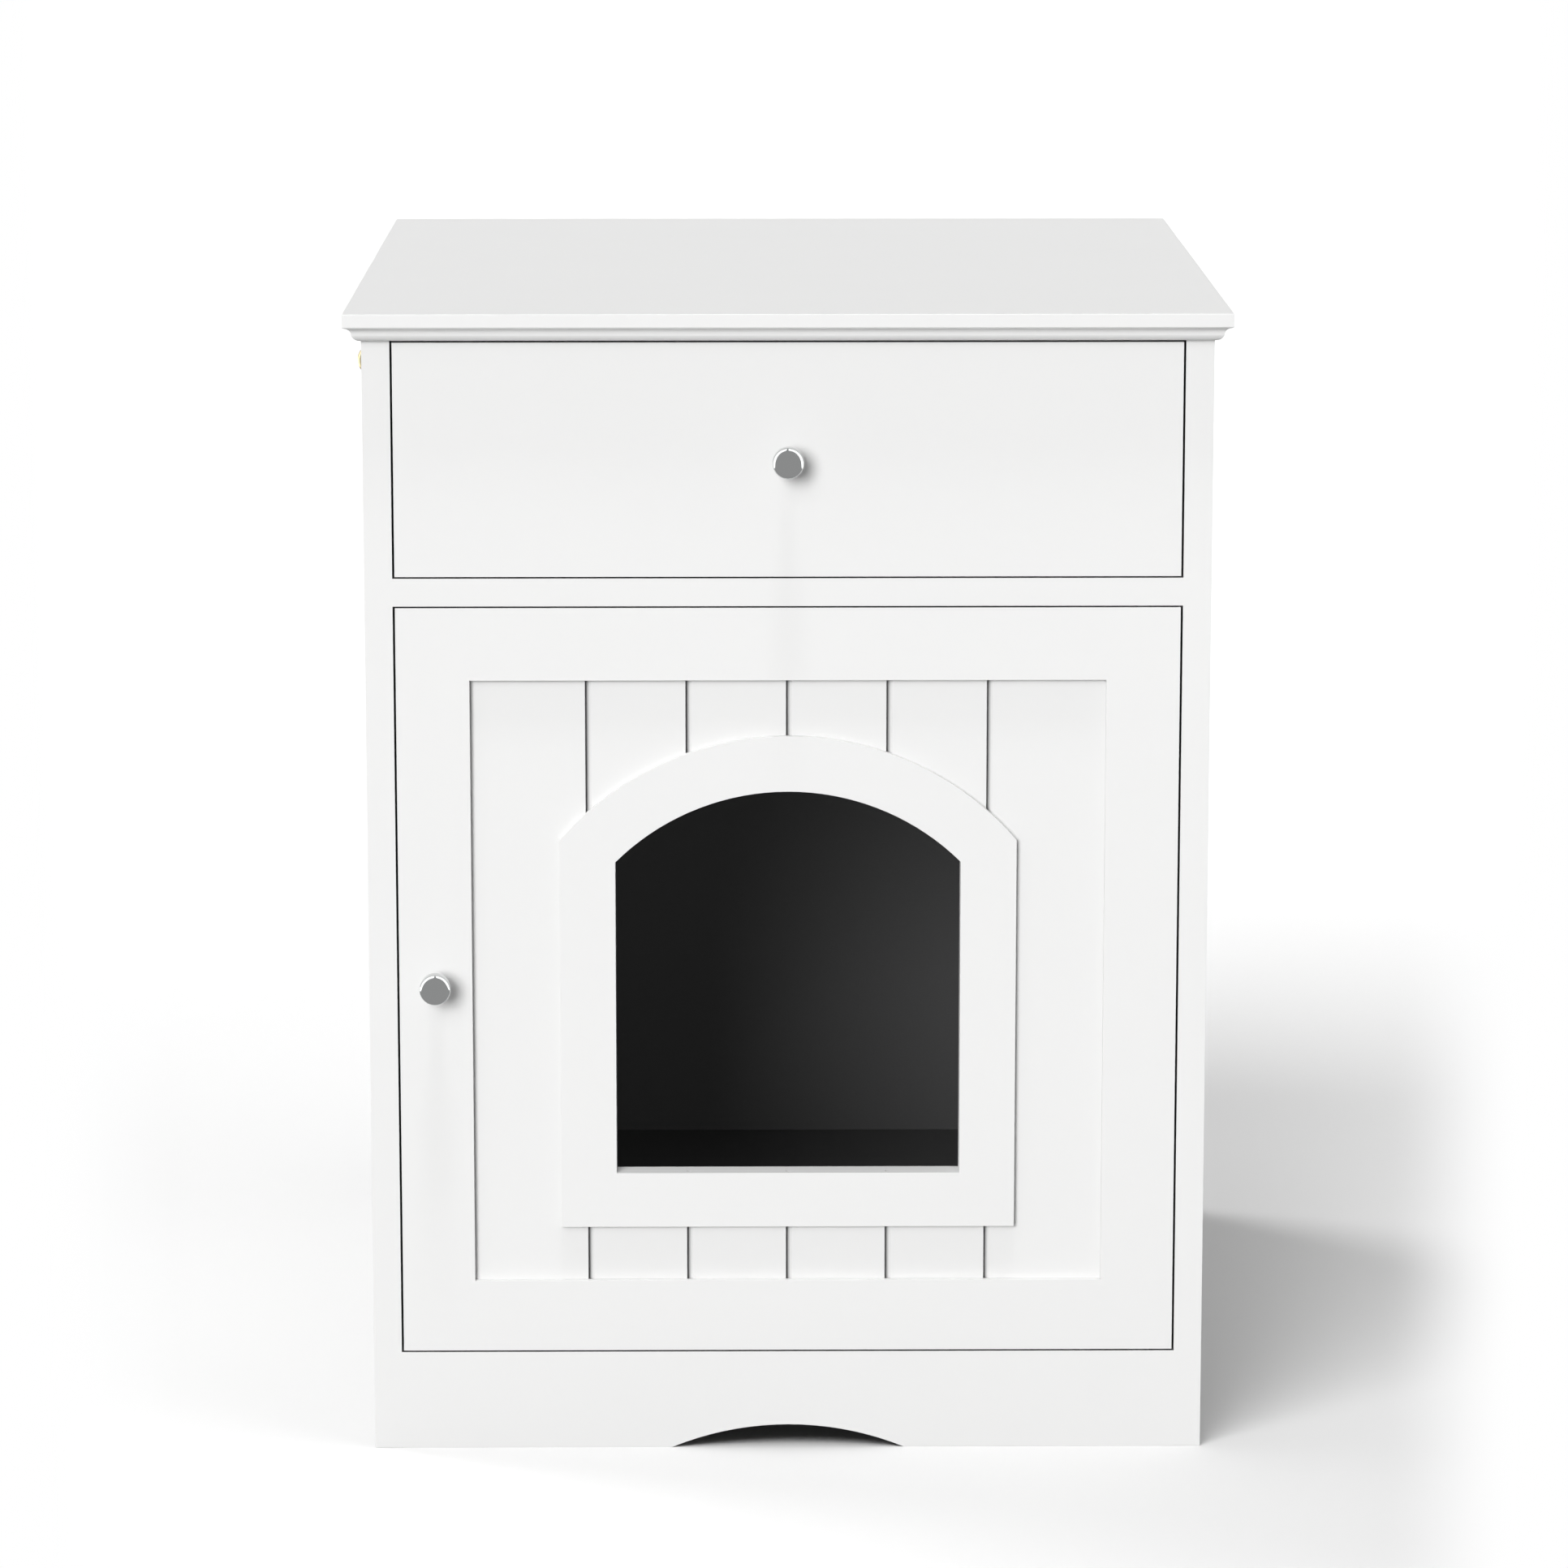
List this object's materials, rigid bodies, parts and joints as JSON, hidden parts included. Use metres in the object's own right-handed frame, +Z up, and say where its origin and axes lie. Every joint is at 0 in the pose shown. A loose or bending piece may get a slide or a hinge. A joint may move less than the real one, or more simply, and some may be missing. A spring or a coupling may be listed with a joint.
{
  "type": "drawer litter box",
  "caption": "Cabinet that hides a litter box: a drawer under a moulded top, over a hinged plank-look door with an arched cat entrance.",
  "frame": {"origin": "on the floor, under the middle of the whole cabinet from the knobs to the rear edges", "axes": "+X to the right as seen from the front, +Y from the front to the back, +Z up"},
  "size_m": [0.5078, 0.566, 0.663],
  "materials": {
    "white_board": "smooth satin white paint",
    "dark_board": "matt near-black coating",
    "zinc_screws": "zinc plated",
    "steel": "satin",
    "coated_steel": "white powder coat",
    "white_nylon": "smooth",
    "black_nylon": "smooth",
    "beech": "bare",
    "chrome": "polished",
    "brass": "polished"
  },
  "bodies": {
    "carcass": {"top_panel": "white_board", "side_panel_left": "white_board", "side_panel_right": "white_board", "divider_shelf": "white_board", "floor_panel": "dark_board", "kick_board": "white_board", "back_panel": "dark_board", "rear_top_rail": "white_board", "rear_base_rail": "white_board", "confirmat_screws": "zinc_screws", "screw_caps": "white_nylon", "cam_discs": "zinc_screws", "cam_bolts": "zinc_screws", "wood_dowels": "beech", "runner_left": "coated_steel", "runner_right": "coated_steel", "runner_axles": "steel", "runner_screws": "zinc_screws", "pivot_plate_lower": "steel", "pivot_plate_upper": "steel", "pivot_screws": "zinc_screws", "catch_housing": "white_nylon", "catch_poles": "zinc_screws", "catch_screws": "zinc_screws", "scoop_hook": "brass"},
    "front_rollers": {"front_roller_left": "white_nylon", "front_roller_right": "white_nylon"},
    "door": {"door_stile_left": "white_board", "door_stile_right": "white_board", "door_rail_upper": "white_board", "door_rail_lower": "white_board", "door_panel": "white_board", "arch_trim_front": "white_board", "arch_trim_rear": "white_board", "pivot_bushes": "black_nylon", "door_knob": "chrome", "door_knob_screw": "zinc_screws", "strike_plate": "steel", "strike_screws": "zinc_screws"},
    "drawer": {"drawer_front": "white_board", "drawer_side_left": "white_board", "drawer_side_right": "white_board", "drawer_back": "white_board", "drawer_bottom": "dark_board", "drawer_dowels": "beech", "drawer_knob": "chrome", "drawer_knob_screw": "zinc_screws", "drawer_runner_left": "coated_steel", "drawer_runner_right": "coated_steel", "drawer_axles": "steel", "drawer_runner_screws": "zinc_screws"},
    "rear_rollers": {"rear_roller_left": "white_nylon", "rear_roller_right": "white_nylon"}
  },
  "joints": [
    {"name": "drawer_slide", "type": "slide", "parent": "carcass", "child": "drawer", "axis": [0, -1, 0], "range_m": [0, 0.34]},
    {"name": "door_hinge", "type": "hinge", "parent": "carcass", "child": "door", "pos_m": [0.2016, -0.26, 0.2766], "axis": [0, 0, 1], "range_deg": [0, 110]},
    {"name": "front_rollers_spin", "type": "hinge", "parent": "carcass", "child": "front_rollers", "pos_m": [0, -0.232, 0.5436], "axis": [1, 0, 0], "range_deg": [-10, 1960]},
    {"name": "rear_rollers_spin", "type": "hinge", "parent": "drawer", "child": "rear_rollers", "pos_m": [0, 0.1875, 0.5393], "axis": [1, 0, 0], "range_deg": [-10, 1960]}
  ],
  "couplings": [
    {"joint": "front_rollers_spin", "follows": "drawer_slide", "rad_per_m": 100},
    {"joint": "rear_rollers_spin", "follows": "drawer_slide", "rad_per_m": 100}
  ]
}
